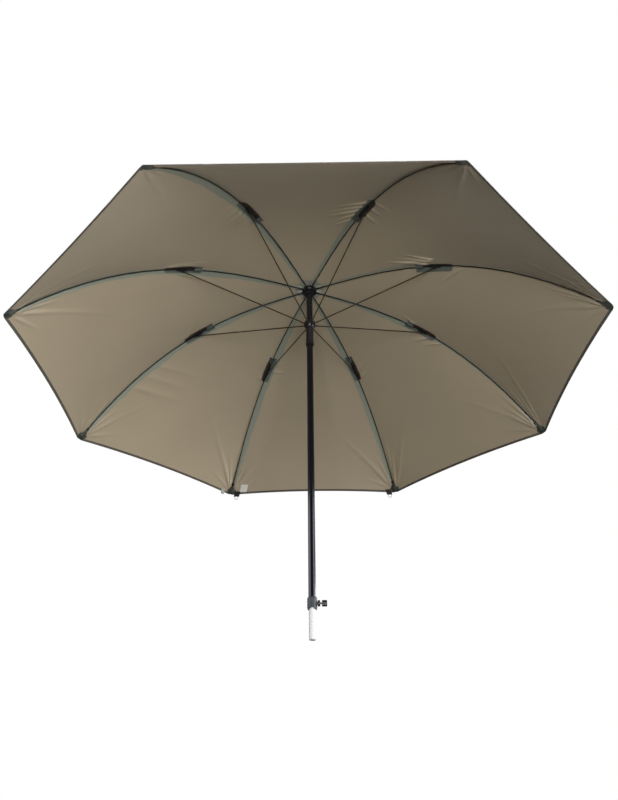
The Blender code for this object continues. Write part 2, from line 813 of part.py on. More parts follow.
def catch_mesh():
    """Flat catch that swings out of the pole's slot. Origin on its pin, Y towards the slot."""
    nose = upper_pole_radius - clearance - catch_pivot_offset
    back = nose - catch_nose_depth
    eye = catch_eye_radius
    outline = arc((0, 0), eye, math.pi, math.tau, eye_steps)
    outline += [(eye + (nose - eye) / 2, catch_heel_height + eye), (nose, catch_length - eye)]
    outline += [(nose, catch_length), (back, catch_length), (-eye, catch_heel_height)]
    body = plate("catch", outline, catch_thickness, along="X")
    hole = rod(
        "catch_hole", catch_pin_radius + clearance, (-catch_thickness, 0, 0),
        (catch_thickness, 0, 0), small_sides,
    )
    return joined("catch", body, [hole], "DIFFERENCE")


# Assembly

for old in list(bpy.data.objects):
    bpy.data.objects.remove(old)

cloth_finish = finish("canopy_cloth", "8f8d66", 0.8, 0)
patch_finish = finish("patch_cloth", "6f7467", 0.85, 0)
fibreglass = finish("fibreglass_rib", "221d18", 0.35, 0)
black_steel = finish("black_steel", "17181b", 0.35, 0.6)
black_plastic = finish("black_plastic", "121214", 0.4, 0)
pole_enamel = finish("pole_enamel", "14161e", 0.2, 0.3)
grey_pole = finish("grey_pole", "c9cacb", 0.5, 0.3)
collar_plastic = finish("collar_plastic", "4a4f57", 0.5, 0)
bare_steel = finish("bare_steel", "9a9a98", 0.3, 1)
brass = finish("brass", "b08d4a", 0.35, 1)

lower = add_carrier("lower_pole_axis")
add_piece(
    "lower_pole",
    tube_mesh("tube", lower_pole_radius, lower_pole_bore, lower_pole_low, lower_pole_high),
    grey_pole, lower,
)
add_piece("pole_foot_plug", plug_mesh("plug", foot_rounding), black_plastic, lower)
add_piece(
    "lower_pole_guide", plug_mesh("plug", guide_rounding), black_plastic, lower,
    (0, 0, guide_high), (math.pi, 0, 0),
)

upper = add_carrier("upper_pole_axis", lower)
add_piece("upper_pole", upper_pole_mesh(), pole_enamel, upper)
add_piece("clamp_collar", collar_mesh(), collar_plastic, upper)
crown = add_carrier("crown", upper, (0, 0, notch_height))
add_piece("top_notch", notch_mesh(), black_plastic, crown)
add_piece("notch_hinge_wire", wire_ring("wire", rib_hinge_radius), bare_steel, crown)
add_piece("crown_patch", crown_patch_mesh(), patch_finish, crown)
add_piece("top_cap", top_cap_mesh(), black_plastic, crown)

clamp = add_carrier("clamp_axis", upper, (0, 0, collar_height))
add_piece("pressure_pad", pad_mesh(), brass, clamp)
add_piece("boss_ring", boss_ring_mesh(), black_plastic, clamp)
add_piece("clamp_stud", stud_mesh(), bare_steel, clamp)
add_piece("clamp_knob", knob_mesh(), black_plastic, clamp)

catch_axis = add_carrier("catch_axis", upper, (0, catch_pivot_offset, catch_pivot_height))
add_piece("runner_catch", catch_mesh(), bare_steel, catch_axis)
add_piece(
    "catch_pin",
    rod("pin", catch_pin_radius, (-catch_pin_half_length, 0, 0), (catch_pin_half_length, 0, 0),
        small_sides),
    bare_steel, catch_axis,
)

runner_axis = add_carrier("runner_axis", upper, (0, 0, notch_height - runner_drop))
add_piece("runner", runner_mesh(), black_plastic, runner_axis)
add_piece("runner_cover", runner_cover_mesh(), black_plastic, runner_axis)
add_piece("runner_hinge_wire", wire_ring("wire", runner_hinge_radius), bare_steel, runner_axis)

rib = rib_mesh()
stretcher = stretcher_mesh()
bracket = bracket_mesh()
tip_cap = tip_cap_mesh()
gore = gore_mesh()
cap_x, cap_z, cap_slope = chord(cap_in_radius, rib_end_radius)
for index in range(rib_count):
    number = index + 1
    turn = Matrix.Rotation(rib_angle(index), 4, "Z")
    place = turn @ Vector((rib_hinge_radius, 0, 0))
    hinge = add_carrier(f"rib_hinge_{number}", crown, place, (0, 0, rib_angle(index)))
    add_piece(f"rib_{number}", rib, fibreglass, hinge)
    add_piece(f"canopy_gore_{number}", gore, cloth_finish, hinge)
    add_piece(
        f"rib_bracket_{number}", bracket, black_plastic, hinge,
        (bracket_x, 0, bracket_z), (0, bracket_slope, 0),
    )
    add_piece(
        f"tip_cap_{number}", tip_cap, black_plastic, hinge,
        (cap_x, 0, cap_z), (0, cap_slope, 0),
    )
    add_piece(
        f"stretcher_{number}", stretcher, black_steel, hinge,
        (pin_x, 0, pin_z), (0, -open_elevation, 0),
    )
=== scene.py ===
"""Fishing umbrella, open, seen from below its rim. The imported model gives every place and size."""
import json
import math

import bmesh
import bpy
import numpy as np
from mathutils import Matrix, Vector


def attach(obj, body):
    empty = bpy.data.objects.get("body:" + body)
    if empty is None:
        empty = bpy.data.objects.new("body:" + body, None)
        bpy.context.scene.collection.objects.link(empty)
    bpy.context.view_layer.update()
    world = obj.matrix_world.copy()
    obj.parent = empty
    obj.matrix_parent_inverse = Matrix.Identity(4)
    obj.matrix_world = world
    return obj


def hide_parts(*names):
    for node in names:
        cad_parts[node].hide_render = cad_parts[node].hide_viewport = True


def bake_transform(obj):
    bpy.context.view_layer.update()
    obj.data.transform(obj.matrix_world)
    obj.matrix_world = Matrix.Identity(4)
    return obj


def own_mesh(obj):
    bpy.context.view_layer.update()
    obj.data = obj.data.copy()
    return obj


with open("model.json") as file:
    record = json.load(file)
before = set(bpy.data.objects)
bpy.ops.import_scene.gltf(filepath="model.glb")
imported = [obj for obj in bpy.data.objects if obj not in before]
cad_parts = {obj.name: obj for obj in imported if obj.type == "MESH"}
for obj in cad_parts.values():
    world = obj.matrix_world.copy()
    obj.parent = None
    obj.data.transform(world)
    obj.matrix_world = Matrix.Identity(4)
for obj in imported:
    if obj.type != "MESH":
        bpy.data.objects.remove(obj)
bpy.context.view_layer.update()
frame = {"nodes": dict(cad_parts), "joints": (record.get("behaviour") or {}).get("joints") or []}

# Camera, light and floor
# The photograph looks up into the canopy from outside its rim, half a metre below the pole's foot.
# Soft lamps stand on the right, low in front, above on the left and, weak, on both sides.

photo_height_px = 800
photo_focal_px = 683.2
photo_centre_px = (314.7, 393.3)
photo_middle_px = (309, 400)
camera_place = (0.0198, -2.2031, -0.5147)
camera_pitch = math.radians(33.019)
camera_yaw = math.radians(0.075)
camera_roll = math.radians(-0.764)

camera_data = bpy.data.cameras.new("photo_camera")
camera_data.lens = camera_data.sensor_width * photo_focal_px / photo_height_px
camera_data.shift_x = (photo_middle_px[0] - photo_centre_px[0]) / photo_height_px
camera_data.shift_y = (photo_centre_px[1] - photo_middle_px[1]) / photo_height_px
camera = bpy.data.objects.new("photo_camera", camera_data)
bpy.context.collection.objects.link(camera)
camera.matrix_world = (
    Matrix.Translation(camera_place)
    @ Matrix.Rotation(camera_yaw, 4, "Z")
    @ Matrix.Rotation(math.pi / 2 + camera_pitch, 4, "X")
    @ Matrix.Rotation(camera_roll, 4, "Z")
)
bpy.context.scene.camera = camera
bpy.context.scene.view_settings.view_transform = "Standard"


def linear(code):
    """Linear red, green, blue and alpha of a six-digit sRGB hex code."""
    values = [int(code[n:n + 2], 16) / 255 for n in (0, 2, 4)]
    return (*[v / 12.92 if v <= 0.04045 else ((v + 0.055) / 1.055) ** 2.4 for v in values], 1)


def add_node(tree, kind, settings=None, links=None):
    """A node with its settings: attribute names, or input numbers or names, and what feeds it."""
    node = tree.nodes.new(kind)
    for key, value in (settings or {}).items():
        if isinstance(key, str) and hasattr(node, key):
            setattr(node, key, value)
        else:
            node.inputs[key].default_value = value
    for key, source in (links or {}).items():
        tree.links.new(source, node.inputs[key])
    return node


# Cameras and glass see a white surround. Glossy paint sees it too, but for a dark band behind the
# camera that fades out on both sides, which leaves the pole a dark middle and pale sides.
ambient = 0.06
band_start = 0.45
band_end = 0.80
world = bpy.data.worlds.new("white_surround")
bpy.context.scene.world = world
world.use_nodes = True
sky = world.node_tree
path = add_node(sky, "ShaderNodeLightPath")
aim = add_node(sky, "ShaderNodeTexCoord")
aim = add_node(sky, "ShaderNodeSeparateXYZ", {}, {0: aim.outputs["Generated"]})
beside = add_node(sky, "ShaderNodeMath", {"operation": "ABSOLUTE"}, {0: aim.outputs["X"]})
beside = add_node(sky, "ShaderNodeMapRange", {1: band_start, 2: band_end, 3: 0.0, 4: 1.0},
                  {0: beside.outputs[0]})
behind = add_node(sky, "ShaderNodeMath", {"operation": "GREATER_THAN", 1: 0.0},
                  {0: aim.outputs["Y"]})
lit = add_node(sky, "ShaderNodeMath", {"operation": "MAXIMUM"},
               {0: beside.outputs[0], 1: behind.outputs[0]})
gloss = add_node(sky, "ShaderNodeMath", {"operation": "MULTIPLY"},
                 {0: path.outputs["Is Glossy Ray"], 1: lit.outputs[0]})
seen = add_node(sky, "ShaderNodeMath", {"operation": "MAXIMUM"},
                {0: path.outputs["Is Camera Ray"], 1: gloss.outputs[0]})
seen = add_node(sky, "ShaderNodeMath", {"operation": "MAXIMUM"},
                {0: seen.outputs[0], 1: path.outputs["Is Transmission Ray"]})
strength = add_node(sky, "ShaderNodeMath", {"operation": "MULTIPLY_ADD", 1: 1 - ambient,
                                            2: ambient}, {0: seen.outputs[0]})
sky.links.new(strength.outputs[0], sky.nodes["Background"].inputs["Strength"])
sky.nodes["Background"].inputs["Color"].default_value = (1, 1, 1, 1)


def add_lamp(name, place, target, width, height, watts):
    """A soft rectangular lamp that faces its target."""
    lamp_data = bpy.data.lights.new(name, "AREA")
    lamp_data.shape = "RECTANGLE"
    lamp_data.size = width
    lamp_data.size_y = height
    lamp_data.energy = watts
    lamp = bpy.data.objects.new(name, lamp_data)
    lamp.location = place
    aim = Vector(target) - Vector(place)
    lamp.rotation_euler = aim.to_track_quat("-Z", "Y").to_euler()
    bpy.context.collection.objects.link(lamp)


canopy_middle = (0, 0, 1.2)
pole_middle = (0, 0, 0.2)
add_lamp("right_lamp", (3.0, 1.0, 0.6), canopy_middle, 1.2, 1.2, 64)
add_lamp("right_front_lamp", (3.0, -1.3, 0.5), canopy_middle, 1.2, 1.2, 32)
add_lamp("front_lamp", (0.2, -2.8, -0.5), canopy_middle, 1.2, 1.2, 81)
add_lamp("top_lamp", (-1.5, -1.0, 4.5), canopy_middle, 2.5, 2.5, 140)
add_lamp("left_side_lamp", (-2.7, -1.8, 1.45), pole_middle, 1.6, 0.9, 16)
add_lamp("right_side_lamp", (2.7, -1.8, 1.45), pole_middle, 1.6, 0.9, 16)

# Cameras see the floor in a darker tone with a plain glow added, so that it stays pale far from
# the lamps and keeps the shadow.
floor_height = -0.9
floor_reach = 9.0
floor_glow = 0.62
floor_mesh = bmesh.new()
bmesh.ops.create_grid(floor_mesh, x_segments=1, y_segments=1, size=floor_reach)
bmesh.ops.translate(floor_mesh, verts=floor_mesh.verts, vec=(0, 0, floor_height))
floor_data = bpy.data.meshes.new("floor")
floor_mesh.to_mesh(floor_data)
floor_mesh.free()
floor = bpy.data.objects.new("floor", floor_data)
bpy.context.collection.objects.link(floor)
floor_material = bpy.data.materials.new("pale_floor")
floor_material.use_nodes = True
floor_tree = floor_material.node_tree
floor_shader = floor_tree.nodes["Principled BSDF"]
floor_rays = add_node(floor_tree, "ShaderNodeLightPath")
floor_tone = add_node(floor_tree, "ShaderNodeMix",
                      {"data_type": "RGBA", 6: linear("545452"), 7: linear("8f8f8d")},
                      {0: floor_rays.outputs["Is Camera Ray"]})
glow = add_node(floor_tree, "ShaderNodeMath", {"operation": "MULTIPLY", 1: floor_glow},
                {0: floor_rays.outputs["Is Camera Ray"]})
floor_tree.links.new(floor_tone.outputs[2], floor_shader.inputs["Base Color"])
floor_tree.links.new(glow.outputs[0], floor_shader.inputs["Emission Strength"])
floor_shader.inputs["Emission Color"].default_value = (1, 1, 1, 1)
floor_shader.inputs["Roughness"].default_value = 0.9
floor_data.materials.append(floor_material)


# The frame's own places
# Ribs hinge on the notch's wire and stretchers on the brackets' pins. The ribs' hinges come from the
# joints.

joints = {joint["name"]: joint for joint in frame["joints"]}
rib_count = 8
rib_numbers = range(1, rib_count + 1)
half_panel = math.pi / rib_count


def hinge_place(number):
    """Where a rib hinges on the notch."""
    return Vector(joints[f"rib_{number}_fold"]["pos_m"])


notch_height = hinge_place(1).z
rib_hinge_radius = hinge_place(1).to_2d().length
first_rib_angle = math.atan2(hinge_place(1).y, hinge_place(1).x)


def rib_angle(number):
    """Angle of a rib round the pole. Rib 1 is at the right of the photograph."""
    return first_rib_angle + math.tau * (number - 1) / rib_count


def rib_frame(number):
    """Places a mesh made beside the pole, with the rib along +X and its hinge at the origin."""
    return (
        Matrix.Translation((0, 0, notch_height))
        @ Matrix.Rotation(rib_angle(number), 4, "Z")
        @ Matrix.Translation((rib_hinge_radius, 0, 0))
    )


def add_piece(name, bm, material, crease=30):
    """A named object at the origin from a bmesh that already stands in its place.

    Edges sharper than crease, in degrees, stay sharp.
    """
    mesh = bpy.data.meshes.new(name)
    bm.to_mesh(mesh)
    bm.free()
    mesh.shade_smooth()
    mesh.set_sharp_from_angle(angle=math.radians(crease))
    mesh.materials.append(material)
    piece = bpy.data.objects.new(name, mesh)
    bpy.context.collection.objects.link(piece)
    return piece


def new_material(name):
    """A material with its node tree and shader."""
    material = bpy.data.materials.new(name)
    material.use_nodes = True
    return material, material.node_tree, material.node_tree.nodes["Principled BSDF"]


def give(node, material):
    """A CAD node keeps its shape and takes a finish."""
    piece = frame["nodes"][node]
    piece.data.materials.clear()
    piece.data.materials.append(material)


roughness_spread = 0.08


def speckled(name, dark, light, grain, roughness, metallic=0.0, bump=0.05):
    """A finish of one colour with fine variation in tone, roughness and height.

    grain is the size of the variation in metres.
    """
    material, tree, shader = new_material(name)
    place = add_node(tree, "ShaderNodeTexCoord")
    noise = add_node(tree, "ShaderNodeTexNoise", {"Scale": 1 / grain, "Detail": 4.0},
                     {"Vector": place.outputs["Object"]})
    tone = add_node(tree, "ShaderNodeMix", {"data_type": "RGBA", 6: linear(dark),
                                            7: linear(light)}, {0: noise.outputs[0]})
    tree.links.new(tone.outputs[2], shader.inputs["Base Color"])
    spread = add_node(tree, "ShaderNodeMapRange",
                      {3: roughness - roughness_spread, 4: roughness + roughness_spread},
                      {0: noise.outputs[0]})
    tree.links.new(spread.outputs[0], shader.inputs["Roughness"])
    raised = add_node(tree, "ShaderNodeBump", {"Strength": bump, "Distance": grain},
                      {"Height": noise.outputs[0]})
    tree.links.new(raised.outputs[0], shader.inputs["Normal"])
    shader.inputs["Metallic"].default_value = metallic
    return material


# Lower pole
# Pale grey anodised tube that telescopes in the upper pole, with a moulded plug in each end.

anodised_grey = speckled("anodised_grey_tube", "d9dadb", "efefef", 0.004, 0.45, 0.1)
moulded_black = speckled("moulded_black_nylon", "0f0f11", "1c1c1f", 0.002, 0.42)
give("lower_pole", anodised_grey)
give("pole_foot_plug", speckled("moulded_grey_plug", "d2d3d4", "e6e6e6", 0.003, 0.5))
give("lower_pole_guide", moulded_black)

# Upper pole
# Drawn tube, stoved in gloss black enamel with a blue cast.

black_enamel = speckled("stoved_black_enamel", "0a0b13", "0e0f19", 0.02, 0.14, 0.0, 0.004)
give("upper_pole", black_enamel)
give("catch_pin", speckled("catch_pin_steel", "8d8d8b", "a9a9a6", 0.001, 0.3, 1.0))
give("runner_catch", speckled("catch_spring_steel", "8a8a88", "a5a5a2", 0.002, 0.35, 1.0))

# Clamp collar, pad and screw
# Slate grey moulded nylon on the tube's end, with a black lobed knob on a steel stud.

slate_nylon = speckled("slate_moulded_nylon", "33383e", "444a50", 0.002, 0.4)
give("clamp_collar", slate_nylon)
give("pressure_pad", speckled("turned_brass", "a8854a", "bd985a", 0.002, 0.35, 1.0))
# The steel stud's colour is darkened to paint the shade in the narrow neck between the boss ring and
# the knob.
give("clamp_stud", speckled("dark_steel_stud_painted_shade", "232426", "2f3033", 0.001, 0.35, 0.6))
give("clamp_knob", moulded_black)
give("boss_ring", moulded_black)

# Notch and top cap
# Moulded black nylon hub under the crown, with a wire ring for the ribs and a cap above.

drawn_wire = speckled("drawn_wire", "6f6f6d", "8d8d8a", 0.001, 0.3, 1.0)
give("top_notch", moulded_black)
give("notch_hinge_wire", drawn_wire)
give("top_cap", moulded_black)

# Runner
# Black glossy ball in two halves on a ribbed grip sleeve.

gloss_nylon = speckled("gloss_moulded_nylon", "1c1f21", "2b2f31", 0.004, 0.2)
give("runner", moulded_black)
give("runner_cover", gloss_nylon)
give("runner_hinge_wire", drawn_wire)

# Ribs, stretchers, brackets and tip caps
# Dark pultruded rods, black enamelled tubes, and black moulded fittings.

rib_finish = speckled("pultruded_rib", "0c0b09", "16130f", 0.006, 0.35)
stretcher_finish = speckled("enamelled_stretcher", "2a2318", "3a3122", 0.006, 0.35)
for number in rib_numbers:
    give(f"rib_{number}", rib_finish)
    give(f"stretcher_{number}", stretcher_finish)
    give(f"rib_bracket_{number}", moulded_black)
    give(f"tip_cap_{number}", moulded_black)

# Canopy cloth
# Thin coated polyester, khaki and slightly glossy inside, stretched over the ribs. Each gore is
# centred on its rib, which it rides on, and meets its neighbours half way between two ribs.

tip_radius = 1.11
crown_rise = 0.471
rib_curve_power = 2.75
cloth_offset = 0.0063
cloth_thickness = 0.0006
hub_lift = 0.0055
hub_lift_reach = 0.068
cloth_inner_radius = 0.0165
gore_start_radius = 0.075
panel_sag_share = 0.030
hem_hollow = 0.010
corner_cut = 0.003
corner_width = 0.018
rib_span = tip_radius - rib_hinge_radius


def cloth_points(radius, side, lift=0.0):
    """Points of a gore in its rib's frame. side runs from -1 to 1 between the sewn edges."""
    share = np.clip((radius - rib_hinge_radius) / rib_span, 0, None)
    slope = np.arctan(crown_rise * rib_curve_power / rib_span * share ** (rib_curve_power - 1))
    near = np.clip(1 - (radius - cloth_inner_radius) / hub_lift_reach, 0, 1)
    height = cloth_offset + hub_lift * near + lift
    x = radius - rib_hinge_radius + height * np.sin(slope)
    z = -crown_rise * share ** rib_curve_power + height * np.cos(slope)
    half_chord = (x + rib_hinge_radius) * math.sin(half_panel)
    reach = half_chord * side
    hang = 4 * share * np.clip(1 - share, 0, 1)
    sag = panel_sag_share * half_chord * hang * (1 - (1 - np.abs(side)) ** 2)
    inward = np.abs(reach) * math.sin(half_panel) + sag * np.sin(slope)
    return np.stack([x - inward, reach * math.cos(half_panel), z - sag * np.cos(slope)], axis=-1)


def hem_radius(side):
    """Radius of the cut edge, hollow between two ribs and rounded off at each corner."""
    beside = np.abs(side) * half_width(tip_radius)
    rounded = corner_cut * np.clip(1 - beside / corner_width, 0, 1) ** 2
    return tip_radius - rounded - hem_hollow * (1 - (1 - np.abs(side)) ** 2)


def half_width(radius):
    """Distance along the cloth from a rib to the middle of its panel."""
    return radius * math.sin(half_panel)


# Fans of creases at the corners, and puckers beside the joints by rib: start and end, each as a
# radius and a distance beside the rib, then the height and the width.
corner_fan = [
    (1.085, 0.008, 0.900, 0.030, 0.0020, 0.006),
    (1.085, 0.012, 0.970, 0.060, 0.0022, 0.006),
    (1.088, 0.018, 1.010, 0.090, 0.0018, 0.006),
    (1.090, 0.030, 1.050, 0.150, 0.0012, 0.006),
    (1.085, -0.008, 0.890, -0.026, 0.0018, 0.006),
    (1.085, -0.012, 0.960, -0.055, 0.0022, 0.006),
    (1.088, -0.018, 1.005, -0.085, 0.0018, 0.006),
    (1.090, -0.030, 1.050, -0.150, 0.0012, 0.006),
]
long_fan = [
    (1.070, 0.030, 0.820, 0.260, 0.0012, 0.010),
    (1.060, -0.040, 0.780, -0.240, 0.0012, 0.010),
]
puckers = {
    1: [
        (0.520, -0.012, 0.400, -0.045, 0.0020, 0.006),
        (0.500, -0.030, 0.370, -0.065, 0.0022, 0.006),
        (0.545, -0.030, 0.430, -0.085, 0.0022, 0.006),
        (0.560, -0.045, 0.470, -0.105, 0.0018, 0.006),
        (0.470, -0.020, 0.360, -0.035, 0.0014, 0.006),
        (0.640, 0.020, 0.560, 0.110, 0.0012, 0.008),
    ],
    2: [
        (0.640, 0.014, 0.600, 0.080, 0.0012, 0.007),
        (0.590, 0.020, 0.560, 0.075, 0.0012, 0.007),
        (0.500, -0.015, 0.420, -0.050, 0.0012, 0.007),
    ],
    3: [
        (0.600, -0.012, 0.590, -0.070, 0.0013, 0.006),
        (0.560, -0.012, 0.540, -0.075, 0.0013, 0.006),
        (0.520, -0.012, 0.490, -0.070, 0.0011, 0.006),
    ],
    4: [
        (0.600, 0.012, 0.600, 0.060, 0.0010, 0.007),
        (0.550, -0.026, 0.560, -0.090, 0.0010, 0.007),
        (0.510, -0.026, 0.500, -0.090, 0.0010, 0.007),
    ],
    5: [
        (0.760, -0.030, 0.720, -0.220, 0.0010, 0.012),
        (0.820, -0.030, 0.790, -0.260, 0.0010, 0.012),
        (0.880, -0.025, 0.850, -0.300, 0.0012, 0.012),
        (0.600, 0.012, 0.540, 0.070, 0.0010, 0.007),
    ],
    6: [
        (0.610, 0.014, 0.440, 0.050, 0.0012, 0.007),
        (0.590, 0.030, 0.430, 0.075, 0.0010, 0.007),
        (0.560, -0.028, 0.440, -0.070, 0.0012, 0.008),
    ],
    7: [
        (0.620, -0.030, 0.640, -0.100, 0.0022, 0.006),
        (0.590, -0.030, 0.600, -0.110, 0.0024, 0.006),
        (0.565, -0.028, 0.570, -0.120, 0.0022, 0.006),
        (0.540, -0.026, 0.540, -0.100, 0.0020, 0.006),
        (0.510, -0.024, 0.500, -0.090, 0.0016, 0.006),
        (0.485, -0.020, 0.470, -0.070, 0.0012, 0.006),
    ],
    8: [
        (0.600, -0.010, 0.560, -0.115, 0.0020, 0.006),
        (0.570, -0.012, 0.530, -0.120, 0.0022, 0.006),
        (0.540, -0.020, 0.495, -0.115, 0.0022, 0.006),
        (0.505, -0.020, 0.455, -0.095, 0.0022, 0.006),
        (0.470, -0.018, 0.425, -0.070, 0.0014, 0.006),
        (0.600, 0.015, 0.620, 0.080, 0.0014, 0.007),
        (0.560, 0.018, 0.570, 0.085, 0.0014, 0.007),
        (0.520, 0.018, 0.520, 0.080, 0.0014, 0.007),
    ],
}
pucker_depth = 4.5
fan_depth = 2.8
fan_beyond = 1.0
crease_turn = 0.012
crease_sizes = (0.7, 1.2)
crease_seed = 40


def crease_lift(radius, beside, number):
    """Height of the puckers and creases, which differ a little from rib to rib."""
    chance = np.random.default_rng(crease_seed + number)
    lift = np.zeros_like(radius)
    for r0, b0, r1, b1, height, width in corner_fan + long_fan + puckers[number]:
        turn, size = chance.uniform(-crease_turn, crease_turn), chance.uniform(*crease_sizes)
        along = np.array([r1 - r0, b1 - b0 + turn])
        length = np.linalg.norm(along)
        along /= length
        share = ((radius - r0) * along[0] + (beside - b0) * along[1]) / length
        away = (radius - r0) * along[1] - (beside - b0) * along[0]
        fade = np.clip(1 - share, 0, 1) * np.clip(share * 6 + 0.4, 0, 1)
        depth = fan_depth if r0 > fan_beyond else pucker_depth
        lift -= depth * size * height * fade * np.exp(-(away / width) ** 2)
    return lift


# The weave is drawn at 0.9 mm, four times as coarse as the real threads, so that it can show. The
# tone drifts over a third of a metre, as the coating does.
weave_scale = 350.0
drift_scale = 3.0
cloth, tree, shader = new_material("coated_khaki_polyester")
place = add_node(tree, "ShaderNodeTexCoord")
soft = add_node(tree, "ShaderNodeTexNoise", {"Scale": drift_scale, "Detail": 3.0},
                {"Vector": place.outputs["Object"]})
tone = add_node(tree, "ShaderNodeMix", {"data_type": "RGBA", 6: linear("a1947d"),
                                        7: linear("aea087")}, {0: soft.outputs[0]})
tree.links.new(tone.outputs[2], shader.inputs["Base Color"])
warp = add_node(tree, "ShaderNodeTexWave", {"bands_direction": "X", "Scale": weave_scale},
                {"Vector": place.outputs["UV"]})
weft = add_node(tree, "ShaderNodeTexWave", {"bands_direction": "Y", "Scale": weave_scale},
                {"Vector": place.outputs["UV"]})
weave = add_node(tree, "ShaderNodeMath", {"operation": "MAXIMUM"},
                 {0: warp.outputs["Fac"], 1: weft.outputs["Fac"]})
woven = add_node(tree, "ShaderNodeBump", {"Strength": 0.25, "Distance": 0.0002},
                 {"Height": weave.outputs[0]})
tree.links.new(woven.outputs[0], shader.inputs["Normal"])
shader.inputs["Roughness"].default_value = 0.42
shader.inputs["Sheen Weight"].default_value = 0.1

# The grid is closer beside the rib, at the joint and at the corner, where the cloth creases.
gore_steps = 260
gore_sides = 120
even_steps = (0, 0.14, 0.50, 0.66, 1)
gore_spread = (0, 0.33, 0.56, 0.82, 1)
side_power = 1.6
pieces_on_cloth = {number: [] for number in rib_numbers}


def cloth_grid(steps, sides, place_of, number, thickness, spread=None):
    """A strip of cloth in its rib's place, and its area. place_of gives radius, side and lift.

    spread is the strip's length and width, for a pattern that follows the strip itself.
    """
    bm = bmesh.new()
    bmesh.ops.create_grid(bm, x_segments=steps, y_segments=sides, size=1)
    flat = np.array([vert.co[:2] for vert in bm.verts])
    radius, side, lift = place_of((flat[:, 0] + 1) / 2, flat[:, 1])
    points = cloth_points(radius, side, lift)
    lengths = radius
    widths = side * half_width(radius)
    if spread:
        lengths = flat[:, 0] * spread[0] / 2
        widths = flat[:, 1] * spread[1] / 2
    layer = bm.loops.layers.uv.new("cloth")
    for vert, point in zip(bm.verts, points):
        vert.co = point
    bm.verts.index_update()
    for face in bm.faces:
        for loop in face.loops:
            loop[layer].uv = (lengths[loop.vert.index], widths[loop.vert.index])
    bmesh.ops.transform(bm, matrix=rib_frame(number), verts=bm.verts)
    area = sum(face.calc_area() for face in bm.faces)
    bmesh.ops.recalc_face_normals(bm, faces=bm.faces)
    bmesh.ops.solidify(bm, geom=bm.faces[:], thickness=thickness)
    bmesh.ops.recalc_face_normals(bm, faces=bm.faces)
    return bm, area


def fold_with_rib(piece, number):
    """Cloth on a rib turns with it."""
    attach(piece, f"rib_{number}")
    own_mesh(piece)


def sew_on(piece, number):
    """A piece sewn to a gore folds with its rib and belongs to the gore's sheet."""
    fold_with_rib(piece, number)
    pieces_on_cloth[number].append(piece)


def gore_place(along, side):
    """A gore from the crown to the hem, with its creases."""
    share = np.interp(along, even_steps, gore_spread)
    side = np.sign(side) * np.abs(side) ** side_power
    radius = gore_start_radius + (hem_radius(side) - gore_start_radius) * share
    lift = crease_lift(radius, side * half_width(radius), number)
    return radius, side, lift


gores = {}
for number in rib_numbers:
    bm, area = cloth_grid(gore_steps, gore_sides, gore_place, number, cloth_thickness)
    gores[number] = (add_piece(f"canopy_cloth_{number}", bm, cloth, crease=20), area)


stitch_gap = -0.3


def stitched(name, dark, light, rows, pitch=0.0035, thread=0.0006):
    """Cloth with rows of stitches along its length, each row at a distance from the middle.

    Thread shows where a sine over the stitch pitch is above stitch_gap.
    """
    material = speckled(name, dark, light, 0.003, 0.5)
    tree = material.node_tree
    shader = tree.nodes["Principled BSDF"]
    place = add_node(tree, "ShaderNodeTexCoord")
    place = add_node(tree, "ShaderNodeSeparateXYZ", {}, {0: place.outputs["UV"]})
    wave = add_node(tree, "ShaderNodeMath", {"operation": "MULTIPLY", 1: math.tau / pitch},
                    {0: place.outputs["X"]})
    wave = add_node(tree, "ShaderNodeMath", {"operation": "SINE"}, {0: wave.outputs[0]})
    dash = add_node(tree, "ShaderNodeMath", {"operation": "GREATER_THAN", 1: stitch_gap},
                    {0: wave.outputs[0]})
    total = None
    for row in rows:
        line = add_node(tree, "ShaderNodeMath", {"operation": "COMPARE", 1: row, 2: thread / 2},
                        {0: place.outputs["Y"]})
        if total:
            line = add_node(tree, "ShaderNodeMath", {"operation": "MAXIMUM"},
                            {0: total.outputs[0], 1: line.outputs[0]})
        total = line
    stitch = add_node(tree, "ShaderNodeMath", {"operation": "MULTIPLY"},
                      {0: total.outputs[0], 1: dash.outputs[0]})
    before = shader.inputs["Base Color"].links[0].from_socket
    tone = add_node(tree, "ShaderNodeMix", {"data_type": "RGBA", 7: linear("8d8f84")},
                    {0: stitch.outputs[0], 6: before})
    tree.links.new(tone.outputs[2], shader.inputs["Base Color"])
    return material


# Crown of the canopy
# The narrow ends of the gores meet round the pole between the notch and the cap. They stay at the
# pole.

crown_grid = (16, 16)


def crown_place(along, side):
    """The smooth end of a gore, from the hole for the pole to the gore's start."""
    radius = cloth_inner_radius + (gore_start_radius - cloth_inner_radius) * along
    return radius, side, np.zeros_like(radius)


def blend_at_hinge(piece):
    """Cloth over a rib's hinge, which stays at the pole."""
    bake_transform(piece)


for number in rib_numbers:
    bm, area = cloth_grid(*crown_grid, crown_place, number, cloth_thickness)
    piece = add_piece(f"canopy_crown_{number}", bm, cloth, crease=20)
    blend_at_hinge(piece)
    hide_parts(f"canopy_gore_{number}")

# Crown patch
# Grey-green patch of the same cloth, sewn inside the crown where the notch rubs. Its edge draws
# in between the ribs, and it hangs in small loose folds.

patch_grid = (20, 30)
patch_cloth = speckled("grey_green_patch", "7f8277", "909286", 0.003, 0.42)
patch_radius = 0.070
patch_drop = 0.0010
patch_thickness = 0.0006
patch_fold = 0.0022
patch_draw = 0.13
patch_draw_power = 1.3
patch_waves = 9


